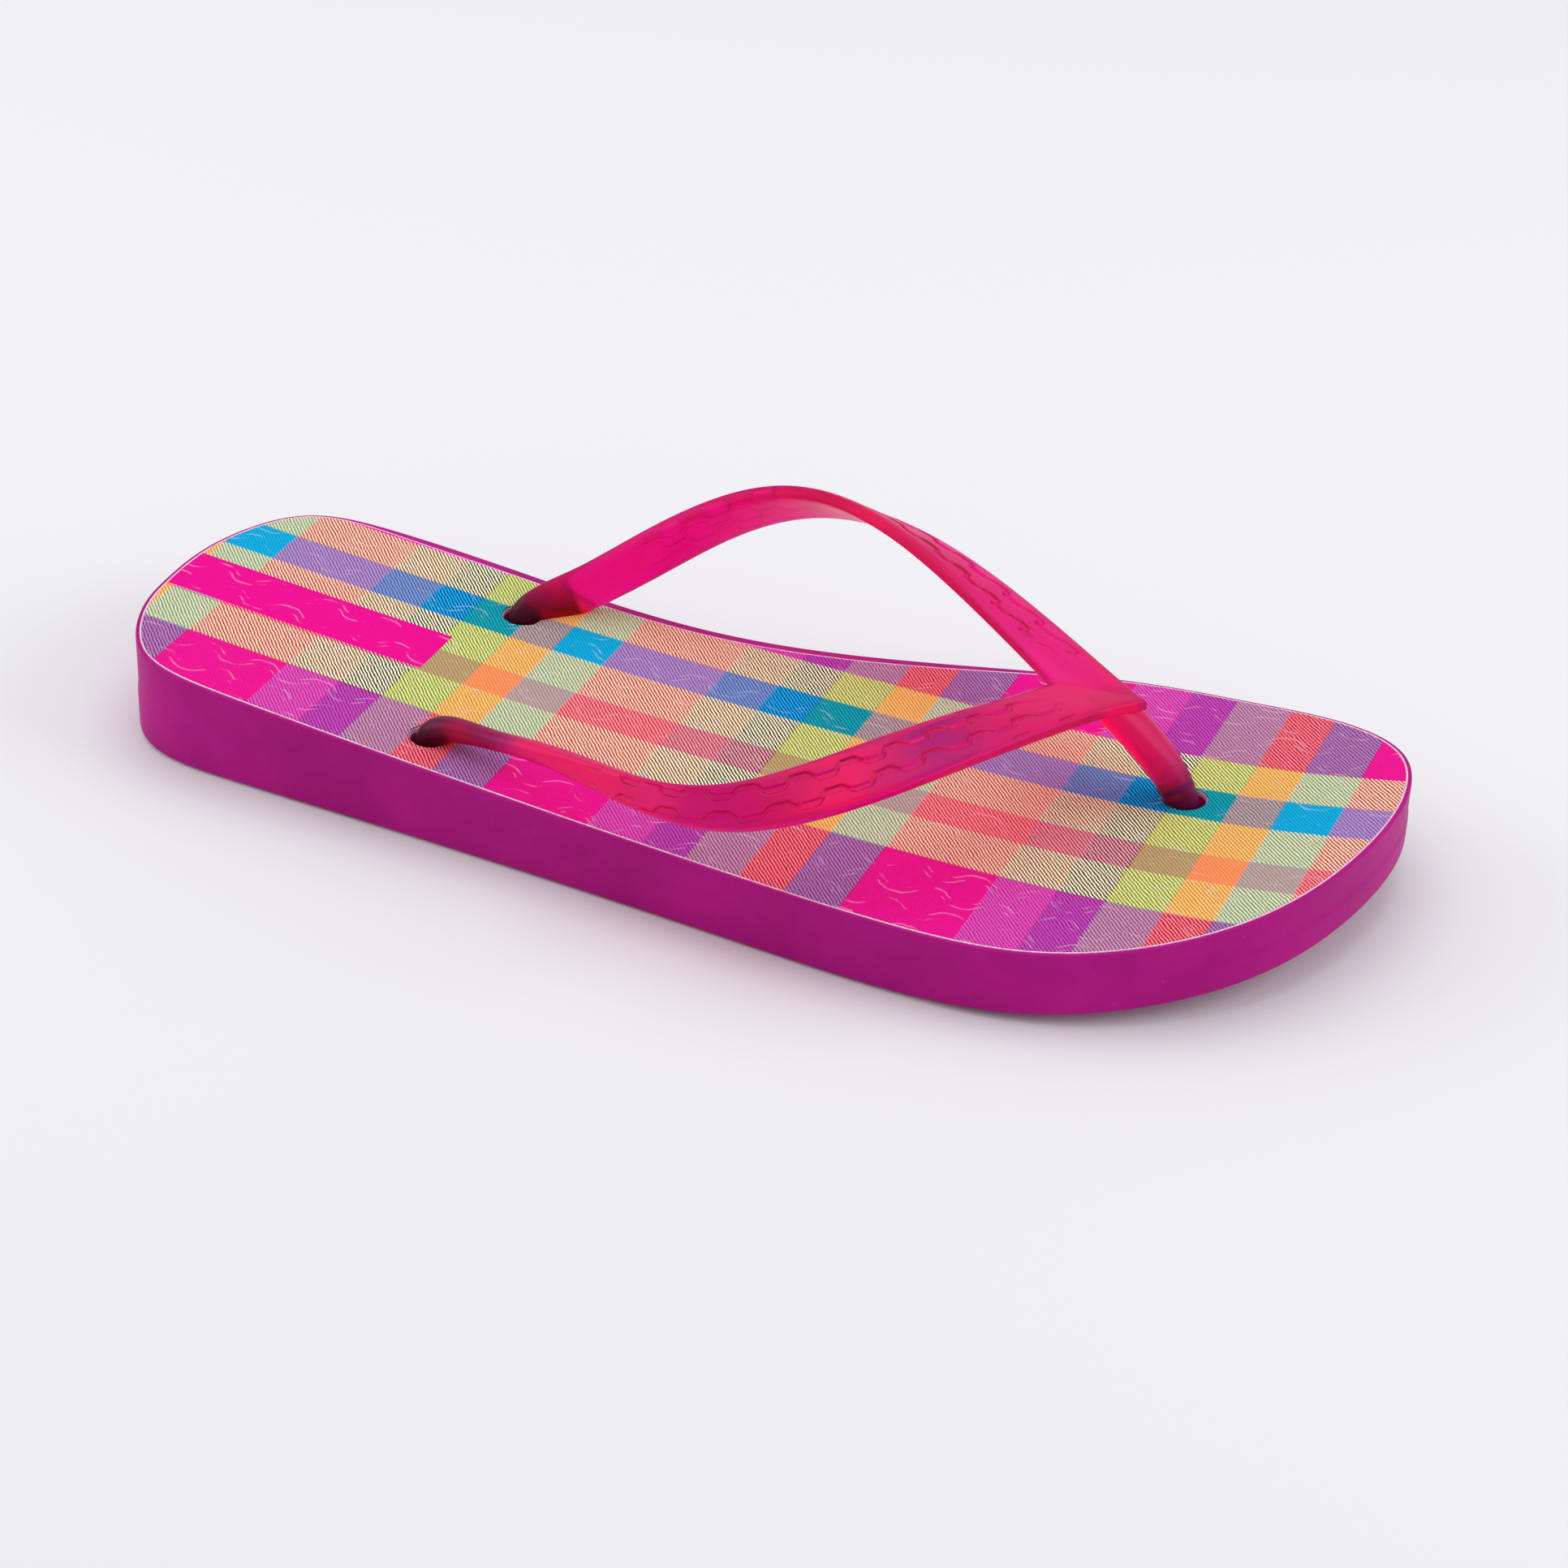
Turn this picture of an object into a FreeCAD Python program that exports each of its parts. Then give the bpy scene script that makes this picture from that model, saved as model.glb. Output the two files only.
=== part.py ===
import FreeCAD, Part
import math
import os
import Sketcher

# A thong sandal for the right foot: a moulded sole, a printed footbed sheet bonded on it, and a
# Y-shaped strap with three stems that pass through the sole and end in discs in its underside.
# Millimetres. X runs from heel to toe, Y towards the inner (medial) side of the foot, Z is up.
# The origin is under the middle of the sole, on the ground.

Vector = FreeCAD.Vector
doc = FreeCAD.newDocument("thong_sandal")
sheet = doc.addObject("Spreadsheet::Sheet", "sizes")

sizes = [
    # overall
    ("sole_length", 241.0),
    ("sole_width", 95.0),
    ("heel_height", 20.6),          # top of the footbed at the heel tip
    ("heel_back_rise", 0.4),        # more of it where the profile curve starts, behind the tip
    ("seat_height", 17.5),          # in front of the heel, where the foot's weight sits
    ("waist_height", 14.8),         # under the arch of the foot
    ("ball_height", 13.8),
    ("toe_base_height", 15.4),
    ("toe_tip_height", 23.4),
    ("seat_setback", 40.0),         # the profile's stations: the first two from the heel tip,
    ("waist_setback", 86.0),        # the other two from the toe tip
    ("ball_setback", 90.0),
    ("toe_base_setback", 40.0),
    ("profile_overrun", 6.0),       # how far the profile curves run past the two tips
    ("blank_height", 32.0),         # height of the slab that the sole is trimmed from
    ("trim_margin", 5.0),           # how far the trimming cuts reach past the slab
    ("edge_split_height", 9.7),     # edges above it are top edges, edges below it ground edges
    ("spring_start", 90.5),         # where the underside starts to lift, back from the toe tip
    ("spring_radius", 495.0),
    ("ground_edge_radius", 1.2),
    ("top_edge_radius", 0.8),
    # footbed sheet
    ("footbed_thickness", 1.2),
    ("footbed_rim", 1.0),           # rim of bare sole round the sheet
    # strap holes, stems and discs
    ("toe_hole_setback", 39.0),     # from the toe tip
    ("toe_hole_offset", 8.5),       # from the centre line, towards the inner side
    ("side_hole_setback", 66.5),    # from the heel tip
    ("lateral_hole_share", 0.2232),  # from the centre line, as a share of the sole's width
    ("medial_hole_share", 0.2684),
    ("stem_diameter", 6.4),
    ("stem_clearance", 0.08),       # radial, in the sole and the sheet
    ("stem_rise", 1.4),             # straight stem above the sheet
    ("disc_diameter", 17.0),
    ("disc_thickness", 2.4),
    ("disc_edge", 0.5),
    ("disc_clearance", 0.5),        # radial, in its recess
    ("disc_gap", 0.05),             # between the disc and the roof of its recess
    ("side_recess_depth", 4.0),
    ("toe_recess_depth", 7.7),      # from the ground, where the underside has already lifted
    # where the two bands meet
    ("apex_setback", 56.5),         # from the toe tip
    ("apex_offset", 7.6),
    ("apex_rise", 18.6),            # above the footbed sheet at the toe hole
    ("fork_setback", 60.5),         # plane where the bands leave the toe post
    ("fork_gap", 0.1),              # half of the slit between the bands behind that plane
    ("neck_thickness", 2.6),
    ("neck_swell", 1.2),            # width of the post under its fan, in stem diameters
    ("neck_straight", 0.45),        # the next three bend the post, as shares of its height
    ("neck_lean", 0.6),             # and of its reach back to the fork
    ("neck_dip", 0.1),
    ("band_start", 0.14),           # shares of a band's curve where its own sections begin,
    ("band_end", 0.92),             # where they end, and where it meets the fork plane
    ("band_fork", 0.97),
    ("band_bevel", 0.5),
    ("band_clearance", 0.2),        # between a band's lower edge and the top of its stem
    ("root_share", 0.7),            # size of a band's root, as a share of the stem's diameter
    ("band_stations", 24),
    ("post_stations", 14),
    ("post_sides", 24),
]

# The bands follow Bezier curves. Their first two inner poles are measured from the side hole
# (forward, outward, up) and the last two from the apex (back, outward, up).
bandPoles = {
    "lateral": {"root": (38.0, 5.8, 10.7), "rise": (55.5, 33.8, 12.7),
                "crown": (47.0, 70.6, -2.7), "fall": (31.0, 40.6, 5.8)},
    "medial": {"root": (18.5, 11.5, 5.7), "rise": (34.5, 26.0, 23.7),
               "crown": (67.0, 50.4, 14.8), "fall": (41.5, 34.4, 5.8)},
}
# Width and twist of each band along its length: no twist stands the band on edge, 90 degrees
# lays it flat. They are weighted along the curve just as its poles are.
bandWidths = {"lateral": (3.6, 3.4, 8.0, 13.0, 13.0), "medial": (6.0, 9.5, 11.5, 11.5, 11.5)}
bandTwists = {"lateral": (0.0, 20.0, 40.0, 70.0, 100.0), "medial": (0.0, 5.0, 38.0, 66.0, 90.0)}
bandThickness = (4.2, 3.0, 2.4, 2.6)

for side in bandPoles:
    for pole, offsets in bandPoles[side].items():
        for word, offset in zip(("along", "outward", "upward"), offsets):
            sizes.append(("%s_%s_%s" % (side, pole, word), offset))
    for number, width in enumerate(bandWidths[side]):
        sizes.append(("%s_width_%s" % (side, "abcde"[number]), width))
    for number, twist in enumerate(bandTwists[side]):
        sizes.append(("%s_twist_%s" % (side, "abcde"[number]), twist))
for number, thickness in enumerate(bandThickness):
    sizes.append(("band_thickness_%s" % "abcd"[number], thickness))

# Outline of the sole, once round from the heel tip along the outer side. Each point is set back
# from the nearer tip, and stands off the centre line by a share of the sole's width.
outline = [
    ("heel_tip", "heel", 0.2, 0.0316),
    ("heel_corner_out", "heel", 2.0, -0.1),
    ("heel_turn_out", "heel", 8.0, -0.2084),
    ("heel_side_out", "heel", 26.5, -0.2747),
    ("waist_out", "heel", 70.5, -0.3389),
    ("shank_out", "toe", 110.5, -0.44),
    ("ball_out", "toe", 75.5, -0.4958),
    ("little_toe", "toe", 55.5, -0.4979),
    ("shoulder_out", "toe", 35.5, -0.4316),
    ("toe_turn_out", "toe", 15.5, -0.2684),
    ("toe_corner_out", "toe", 3.2, -0.0211),
    ("toe_tip", "toe", 0.2, 0.1632),
    ("toe_corner_in", "toe", 3.5, 0.3137),
    ("toe_turn_in", "toe", 16.5, 0.4295),
    ("shoulder_in", "toe", 35.5, 0.4821),
    ("ball_in", "toe", 50.5, 0.5),
    ("shank_in", "toe", 95.5, 0.4316),
    ("waist_in", "heel", 105.5, 0.3768),
    ("seat_in", "heel", 60.5, 0.4284),
    ("heel_side_in", "heel", 32.5, 0.4611),
    ("heel_turn_in", "heel", 15.0, 0.4358),
    ("heel_corner_in", "heel", 6.0, 0.3211),
    ("heel_back_in", "heel", 1.2, 0.1632),
]
for name, end, setback, share in outline:
    sizes.append((name + "_setback", setback))
    sizes.append((name + "_share", share))

for row, (name, value) in enumerate(sizes, 1):
    sheet.set("A%d" % row, name)
    sheet.set("B%d" % row, str(value))
    sheet.setAlias("B%d" % row, name)
doc.recompute()


def size(name):
    return float(sheet.get(name))


# Places worked out from the sizes.
heelX = -size("sole_length") / 2
toeX = size("sole_length") / 2
holes = {
    "toe": (toeX - size("toe_hole_setback"), size("toe_hole_offset")),
    "lateral": (heelX + size("side_hole_setback"),
                -size("sole_width") * size("lateral_hole_share")),
    "medial": (heelX + size("side_hole_setback"),
               size("sole_width") * size("medial_hole_share")),
}
holeExpressions = {
    "toe": ("sizes.sole_length / 2 - sizes.toe_hole_setback", "sizes.toe_hole_offset"),
    "lateral": ("sizes.side_hole_setback - sizes.sole_length / 2",
                "-sizes.sole_width * sizes.lateral_hole_share"),
    "medial": ("sizes.side_hole_setback - sizes.sole_length / 2",
               "sizes.sole_width * sizes.medial_hole_share"),
}
recessDepths = {"toe": "toe_recess_depth", "lateral": "side_recess_depth",
                "medial": "side_recess_depth"}


def outlinePoints(rim):
    """Points of the outline, moved in by the rim along the line's own normal."""
    points = []
    for name, end, setback, share in outline:
        setback = size(name + "_setback")
        x = heelX + setback if end == "heel" else toeX - setback
        points.append(Vector(x, size("sole_width") * size(name + "_share"), 0))
    moved = []
    for number, point in enumerate(points):
        chord = points[(number + 1) % len(points)] - points[number - 1]
        inward = Vector(-chord.y, chord.x, 0).normalize()
        moved.append(point + inward * rim)
    return moved


def profileCurve(drop):
    """Side view of the footbed's upper face, lowered by the drop."""
    overrun = size("profile_overrun")
    stations = [
        (heelX - overrun, size("heel_height") + size("heel_back_rise")),
        (heelX + size("seat_setback"), size("seat_height")),
        (heelX + size("waist_setback"), size("waist_height")),
        (toeX - size("ball_setback"), size("ball_height")),
        (toeX - size("toe_base_setback"), size("toe_base_height")),
        (toeX + overrun, size("toe_tip_height")),
    ]
    curve = Part.BSplineCurve()
    curve.interpolate([Vector(x, z - drop, 0) for x, z in stations])
    return curve


def topHeight(x):
    """Height of the footbed's upper face above the ground at a station."""
    curve = profileCurve(0)
    wall = Part.LineSegment(Vector(x, 0, 0), Vector(x, size("sole_length"), 0))
    return curve.intersect(wall)[0].Y


def newBody(name):
    body = doc.addObject("PartDesign::Body", name)
    body.Label = name
    return body


def newSketch(body, name, role):
    sketch = body.newObject("Sketcher::SketchObject", name)
    plane = [item for item in body.Origin.OriginFeatures if item.Role == role][0]
    sketch.AttachmentSupport = [(plane, "")]
    sketch.MapMode = "FlatFace"
    return sketch


def outlineSketch(body, name, rim):
    sketch = newSketch(body, name, "XY_Plane")
    curve = Part.BSplineCurve()
    curve.interpolate(Points=outlinePoints(rim), PeriodicFlag=True)
    sketch.addGeometry(curve)
    return sketch


def closedBy(sketch, curve, level):
    """Close an open side-view curve with three straight lines at the level."""
    first = curve.value(curve.FirstParameter)
    last = curve.value(curve.LastParameter)
    corners = [last, Vector(last.x, level, 0), Vector(first.x, level, 0), first]
    sketch.addGeometry(curve)
    for start, end in zip(corners, corners[1:]):
        sketch.addGeometry(Part.LineSegment(start, end))


def profilePocket(body, name, curve, level):
    """Cut away all that lies between a side-view curve and a level."""
    sketch = newSketch(body, name + "_sketch", "XZ_Plane")
    closedBy(sketch, curve, level)
    pocket = body.newObject("PartDesign::Pocket", name)
    pocket.Profile = sketch
    pocket.Type = "ThroughAll"
    pocket.SideType = "Symmetric"
    doc.recompute()
    return pocket


def circleSketch(body, name, xExpression, yExpression, diameterExpression):
    """A circle on the ground plane, placed and sized by expressions."""
    sketch = newSketch(body, name, "XY_Plane")
    circle = sketch.addGeometry(Part.Circle(Vector(1, 1, 0), Vector(0, 0, 1), 2))
    sketch.addConstraint(Sketcher.Constraint("DistanceX", -1, 1, circle, 3, 1.0))
    sketch.addConstraint(Sketcher.Constraint("DistanceY", -1, 1, circle, 3, 1.0))
    sketch.addConstraint(Sketcher.Constraint("Diameter", circle, 4.0))
    sketch.setExpression("Constraints[0]", xExpression)
    sketch.setExpression("Constraints[1]", yExpression)
    sketch.setExpression("Constraints[2]", diameterExpression)
    return sketch


def roundPocket(body, name, place, diameterExpression, depthExpression):
    """A round pocket upwards from the ground plane; with no depth it goes right through."""
    xExpression, yExpression = holeExpressions[place]
    sketch = circleSketch(body, name + "_sketch", xExpression, yExpression, diameterExpression)
    x, y = holes[place]
    probe = Part.makeCylinder(size("stem_diameter") / 4, size("blank_height"), Vector(x, y, 0))
    before = body.Shape.common(probe).Volume
    pocket = body.newObject("PartDesign::Pocket", name)
    pocket.Profile = sketch
    pocket.Reversed = True
    if depthExpression:
        pocket.Type = "Length"
        pocket.setExpression("Length", depthExpression)
    else:
        pocket.Type = "ThroughAll"
    doc.recompute()
    after = body.Shape.common(probe).Volume
    if after > before - 1 and before > 1:
        raise RuntimeError(name + " cut nothing")


def roundEdges(body, name, radiusExpression, isTop):
    """Round the long curved edges round the top or the bottom of the sole."""
    middle = size("edge_split_height")
    chosen = []
    for number, edge in enumerate(body.Shape.Edges, 1):
        box = edge.BoundBox
        level = box.XLength > size("sole_length") / 4 and not isinstance(edge.Curve, Part.Line)
        if level and (box.ZMin + box.ZMax > 2 * middle) == isTop:
            chosen.append("Edge%d" % number)
    base = body.Tip
    fillet = body.newObject("PartDesign::Fillet", name)
    fillet.Base = (base, chosen)
    fillet.setExpression("Radius", radiusExpression)
    doc.recompute()


def buildSole():
    sole = newBody("sole")
    pad = sole.newObject("PartDesign::Pad", "sole_blank")
    pad.Profile = outlineSketch(sole, "sole_outline", 0)
    pad.setExpression("Length", "sizes.blank_height")
    doc.recompute()
    top = profileCurve(size("footbed_thickness"))
    profilePocket(sole, "sole_top_trim", top, size("blank_height") + size("trim_margin"))

    # the underside is flat from the heel to the ball, then lifts along one large arc
    radius = size("spring_radius")
    startX = toeX - size("spring_start")
    endX = toeX + size("profile_overrun")
    endAngle = math.asin((endX - startX) / radius)
    circle = Part.Circle(Vector(startX, radius, 0), Vector(0, 0, 1), radius)
    lift = Part.ArcOfCircle(circle, -math.pi / 2, -math.pi / 2 + endAngle)
    endZ = radius - radius * math.cos(endAngle)
    sketch = newSketch(sole, "toe_spring_sketch", "XZ_Plane")
    sketch.addGeometry(lift)
    below = -size("trim_margin")
    sketch.addGeometry(Part.LineSegment(Vector(endX, endZ, 0), Vector(endX, below, 0)))
    sketch.addGeometry(Part.LineSegment(Vector(endX, below, 0), Vector(startX, below, 0)))
    sketch.addGeometry(Part.LineSegment(Vector(startX, below, 0), Vector(startX, 0, 0)))
    spring = sole.newObject("PartDesign::Pocket", "toe_spring")
    spring.Profile = sketch
    spring.Type = "ThroughAll"
    spring.SideType = "Symmetric"
    doc.recompute()

    roundEdges(sole, "top_edge", "sizes.top_edge_radius", True)
    roundEdges(sole, "ground_edge", "sizes.ground_edge_radius", False)
    for place in holes:
        roundPocket(sole, place + "_recess", place,
                    "sizes.disc_diameter + 2 * sizes.disc_clearance",
                    "sizes." + recessDepths[place])
        roundPocket(sole, place + "_hole", place,
                    "sizes.stem_diameter + 2 * sizes.stem_clearance", "")
    return sole


def buildFootbed():
    footbed = newBody("footbed")
    pad = footbed.newObject("PartDesign::Pad", "footbed_blank")
    pad.Profile = outlineSketch(footbed, "footbed_outline", size("footbed_rim"))
    pad.setExpression("Length", "sizes.blank_height")
    doc.recompute()
    above = size("blank_height") + size("trim_margin")
    profilePocket(footbed, "footbed_top_trim", profileCurve(0), above)
    profilePocket(footbed, "footbed_back_trim", profileCurve(size("footbed_thickness")),
                  -size("trim_margin"))
    for place in holes:
        roundPocket(footbed, "footbed_%s_hole" % place, place,
                    "sizes.stem_diameter + 2 * sizes.stem_clearance", "")
    return footbed


def buildPlug(place):
    """A stem with its retaining disc, placed on the axis of its hole."""
    x, y = holes[place]
    plug = newBody(place + "_plug")
    discSketch = newSketch(plug, place + "_disc_sketch", "XY_Plane")
    disc = discSketch.addGeometry(Part.Circle(Vector(0, 0, 0), Vector(0, 0, 1), 8))
    discSketch.addConstraint(Sketcher.Constraint("Coincident", disc, 3, -1, 1))
    discSketch.addConstraint(Sketcher.Constraint("Diameter", disc, 16.0))
    discSketch.setExpression("Constraints[1]", "sizes.disc_diameter")
    discPad = plug.newObject("PartDesign::Pad", place + "_disc")
    discPad.Profile = discSketch
    discPad.setExpression("Length", "sizes.disc_thickness")
    doc.recompute()
    rims = []
    for number, edge in enumerate(discPad.Shape.Edges, 1):
        if edge.BoundBox.ZLength < 0.01 and edge.BoundBox.ZMin < 0.01:
            rims.append("Edge%d" % number)
    chamfer = plug.newObject("PartDesign::Chamfer", place + "_disc_rim")
    chamfer.Base = (discPad, rims)
    chamfer.setExpression("Size", "sizes.disc_edge")
    stemSketch = newSketch(plug, place + "_stem_sketch", "XY_Plane")
    stem = stemSketch.addGeometry(Part.Circle(Vector(0, 0, 0), Vector(0, 0, 1), 3))
    stemSketch.addConstraint(Sketcher.Constraint("Coincident", stem, 3, -1, 1))
    stemSketch.addConstraint(Sketcher.Constraint("Diameter", stem, 6.0))
    stemSketch.setExpression("Constraints[1]", "sizes.stem_diameter")
    stemPad = plug.newObject("PartDesign::Pad", place + "_stem")
    stemPad.Profile = stemSketch
    discBottom = size(recessDepths[place]) - size("disc_gap") - size("disc_thickness")
    stemPad.Length = topHeight(x) + size("stem_rise") - discBottom
    plug.setExpression("Placement.Base.x", holeExpressions[place][0])
    plug.setExpression("Placement.Base.y", holeExpressions[place][1])
    plug.setExpression("Placement.Base.z", "sizes.%s - sizes.disc_gap - sizes.disc_thickness"
                       % recessDepths[place])
    doc.recompute()
    return plug


def bezier(values, share):
    """Bezier blend of numbers or vectors at a share of the way along."""
    degree = len(values) - 1
    total = values[0] * 0
    for number, value in enumerate(values):
        weight = math.comb(degree, number) * share ** number * (1 - share) ** (degree - number)
        total = total + value * weight
    return total


def section(centre, across, through, width, thickness, bevel):
    """A flat eight-sided section: its width runs across, its thickness through."""
    half = width / 2
    deep = thickness / 2
    corners = [(-half + bevel, -deep), (half - bevel, -deep), (half, -deep + bevel),
               (half, deep - bevel), (half - bevel, deep), (-half + bevel, deep),
               (-half, deep - bevel), (-half, -deep + bevel)]
    return [centre + across * u + through * v for u, v in corners]


def loftThrough(sections):
    wires = [Part.makePolygon(points + points[:1]) for points in sections]
    return Part.makeLoft(wires, True, True)


def apexPoint():
    x = toeX - size("apex_setback")
    return Vector(x, size("apex_offset"), topHeight(holes["toe"][0]) + size("apex_rise"))


def bandCurve(side):
    """Poles of a band's centre line, from the side hole to the apex."""
    x, y = holes[side]
    outward = -1 if side == "lateral" else 1
    start = Vector(x, y, topHeight(x) + size("stem_rise"))
    apex = apexPoint()

    def offset(pole, base, direction):
        along, out, up = [size("%s_%s_%s" % (side, pole, word))
                          for word in ("along", "outward", "upward")]
        return base + Vector(direction * along, outward * out, up)

    return [start, offset("root", start, 1), offset("rise", start, 1),
            offset("crown", apex, -1), offset("fall", apex, -1), apex]


def buildBand(side):
    """A strap band: from its stem it stands on edge, then twists to lie flat at the fork."""
    poles = bandCurve(side)
    widths = [size("%s_width_%s" % (side, letter)) for letter in "abcde"]
    twists = [size("%s_twist_%s" % (side, letter)) for letter in "abcde"]
    thicknesses = [size("band_thickness_%s" % letter) for letter in "abcd"]
    inward = 1 if side == "lateral" else -1
    bevel = size("band_bevel")

    def frameAt(share):
        centre = bezier(poles, share)
        along = (bezier(poles, share + 0.001) - bezier(poles, share - 0.001)).normalize()
        upright = (Vector(0, 0, 1) - along * along.z).normalize()
        sideways = along.cross(upright)
        if sideways.y * inward < 0:
            sideways = sideways * -1
        twist = math.radians(bezier(twists, share))
        across = upright * math.cos(twist) + sideways * math.sin(twist)
        through = (sideways * math.cos(twist) - upright * math.sin(twist)) * inward
        return centre, along, across, through

    # the root lies flat on the stem and turns up into the band
    rootWidth = size("stem_diameter") * size("root_share")
    start = poles[0]
    heading = Vector(poles[1].x - start.x, poles[1].y - start.y, 0).normalize()
    sideways = Vector(-heading.y, heading.x, 0)
    sections = [section(start, heading * -1, sideways, rootWidth, rootWidth, bevel)]
    lowest = topHeight(start.x) + size("stem_rise")
    steps = int(size("band_stations"))
    reach = size("band_end") - size("band_start")
    for step in range(steps):
        share = size("band_start") + reach * step / (steps - 1)
        centre, along, across, through = frameAt(share)
        width = bezier(widths, share)
        centre.z = max(centre.z, lowest + width / 2 * abs(across.z) + size("band_clearance"))
        sections.append(section(centre, across, through, width,
                                bezier(thicknesses, share), bevel))

    # the last section lies in the fork plane and stops short of the middle slit
    forkX = toeX - size("fork_setback")
    middle = size("apex_offset") - inward * size("fork_gap")
    centre, along, across, through = frameAt(size("band_fork"))
    width = bezier(widths, size("band_fork"))
    last = []
    for point in section(centre, across, through, width, thicknesses[-1], bevel):
        point = point + along * ((forkX - point.x) / along.x)
        y = min(point.y, middle) if side == "lateral" else max(point.y, middle)
        last.append(Vector(forkX, y, point.z))
    sections.append(last)
    return sections


def buildPost(forkSections):
    """The toe post: a round stem that leans back and fans out under the fork of the bands."""
    x, y = holes["toe"]
    base = Vector(x, y, topHeight(x) + size("stem_rise"))
    left = min(forkSections["lateral"], key=lambda point: point.y)
    right = max(forkSections["medial"], key=lambda point: point.y)
    fork = (left + right) * 0.5
    reach = (right - left).Length
    lift = fork.z - base.z
    poles = [base, base + Vector(0, 0, size("neck_straight") * lift),
             fork + Vector(size("neck_lean") * (base.x - fork.x), 0, -size("neck_dip") * lift),
             fork]
    stem = size("stem_diameter")
    widths = [stem, stem, size("neck_swell") * stem, reach]
    thicknesses = [stem, stem, size("neck_thickness"), size("neck_thickness")]
    points = int(size("post_sides"))
    steps = int(size("post_stations"))
    sections = []
    for step in range(steps + 1):
        share = step / steps
        centre = bezier(poles, share)
        along = (bezier(poles, share + 0.001) - bezier(poles, share - 0.001)).normalize()
        across = Vector(0, 1, 0) * (1 - share) + (right - left).normalize() * share
        across = (across - along * across.dot(along)).normalize()
        through = along.cross(across)
        if step == steps:
            through = Vector(0, -across.z, across.y)
        ring = []
        for number in range(points):
            angle = 2 * math.pi * number / points
            ring.append(centre + across * (bezier(widths, share) / 2 * math.cos(angle))
                        + through * (bezier(thicknesses, share) / 2 * math.sin(angle)))
        if step == steps:
            ring = [Vector(fork.x, point.y, point.z) for point in ring]
        sections.append(ring)
    return sections


def addFeature(name, shape):
    feature = doc.addObject("Part::Feature", name)
    feature.Label = name
    feature.Shape = shape
    feature.Placement = FreeCAD.Placement()
    return feature


subParts = [buildSole(), buildFootbed()]
for place in holes:
    subParts.append(buildPlug(place))
forkSections = {}
for side in ("lateral", "medial"):
    sections = buildBand(side)
    forkSections[side] = sections[-1]
    subParts.append(addFeature("strap_band_" + side, loftThrough(sections)))
subParts.append(addFeature("toe_post", loftThrough(buildPost(forkSections))))
doc.recompute()

for item in doc.Objects:
    if "Invalid" in item.State or "Error" in item.State:
        raise RuntimeError("%s did not build" % item.Label)
for part in subParts:
    shape = part.Shape
    if shape.isNull() or not shape.isValid() or len(shape.Solids) != 1:
        raise RuntimeError("%s is not one sound solid" % part.Label)
    box = shape.BoundBox
    print("%-20s volume %9.1f  x %7.1f %7.1f  y %6.1f %6.1f  z %5.1f %5.1f"
          % (part.Label, shape.Volume, box.XMin, box.XMax, box.YMin, box.YMax, box.ZMin, box.ZMax))

os.makedirs("parts", exist_ok=True)
for part in subParts:
    part.Shape.exportStep("parts/%s.step" % part.Label)
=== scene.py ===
import bpy
import bmesh
import math
from mathutils import Matrix, Vector, noise
from mathutils.bvhtree import BVHTree


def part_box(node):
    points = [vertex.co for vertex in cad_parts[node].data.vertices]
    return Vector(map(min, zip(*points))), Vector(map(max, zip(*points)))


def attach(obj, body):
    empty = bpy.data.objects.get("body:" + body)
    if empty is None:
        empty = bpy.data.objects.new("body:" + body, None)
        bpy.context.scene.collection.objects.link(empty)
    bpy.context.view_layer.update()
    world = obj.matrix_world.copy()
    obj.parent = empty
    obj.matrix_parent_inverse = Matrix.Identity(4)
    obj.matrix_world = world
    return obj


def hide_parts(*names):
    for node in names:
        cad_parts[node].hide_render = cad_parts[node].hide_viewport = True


# Thong sandal: moulded sole, printed footbed on a pale backing, one-piece translucent strap.
# Sizes below are in millimetres and are turned into metres by mm.
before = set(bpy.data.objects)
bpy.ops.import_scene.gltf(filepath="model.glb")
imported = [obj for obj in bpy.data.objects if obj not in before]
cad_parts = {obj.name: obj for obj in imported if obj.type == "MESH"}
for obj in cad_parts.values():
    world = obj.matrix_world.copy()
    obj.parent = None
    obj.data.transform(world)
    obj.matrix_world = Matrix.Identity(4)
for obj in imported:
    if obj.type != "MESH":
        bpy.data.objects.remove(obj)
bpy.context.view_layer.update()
scene = bpy.context.scene
mm = 0.001


def surfaceOf(name):
    # search tree over the faces of one CAD node
    mesh = bmesh.new()
    mesh.from_mesh(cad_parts[name].data)
    tree = BVHTree.FromBMesh(mesh)
    mesh.free()
    return tree


def holeCentre(name):
    low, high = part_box(name)
    return (low + high) / 2


def smoothStep(low, high, value):
    share = min(max((value - low) / (high - low), 0.0), 1.0)
    return share * share * (3 - 2 * share)


soleSurface = surfaceOf("sole")
sheetSurface = surfaceOf("footbed")
holes = {name: holeCentre(name + "_plug") for name in ("toe", "lateral", "medial")}
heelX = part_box("sole")[0].x
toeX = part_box("sole")[1].x
print("frame read: sole from", round(heelX, 4), "to", round(toeX, 4))


probe = {
    "tipMargin": 3.0,         # the height tables start and end this far inside the tips
    "step": 2.0,
    "sideLine": 19.0,         # y of the line along which the underside is read
    "level": 11.0,            # height at which the outline is read
    "farOff": 300.0,
    "rays": 1440,
    "points": 440,
    "heightRounds": 3,        # rounds of smoothing
    "outlineRounds": 4,
}


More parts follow.
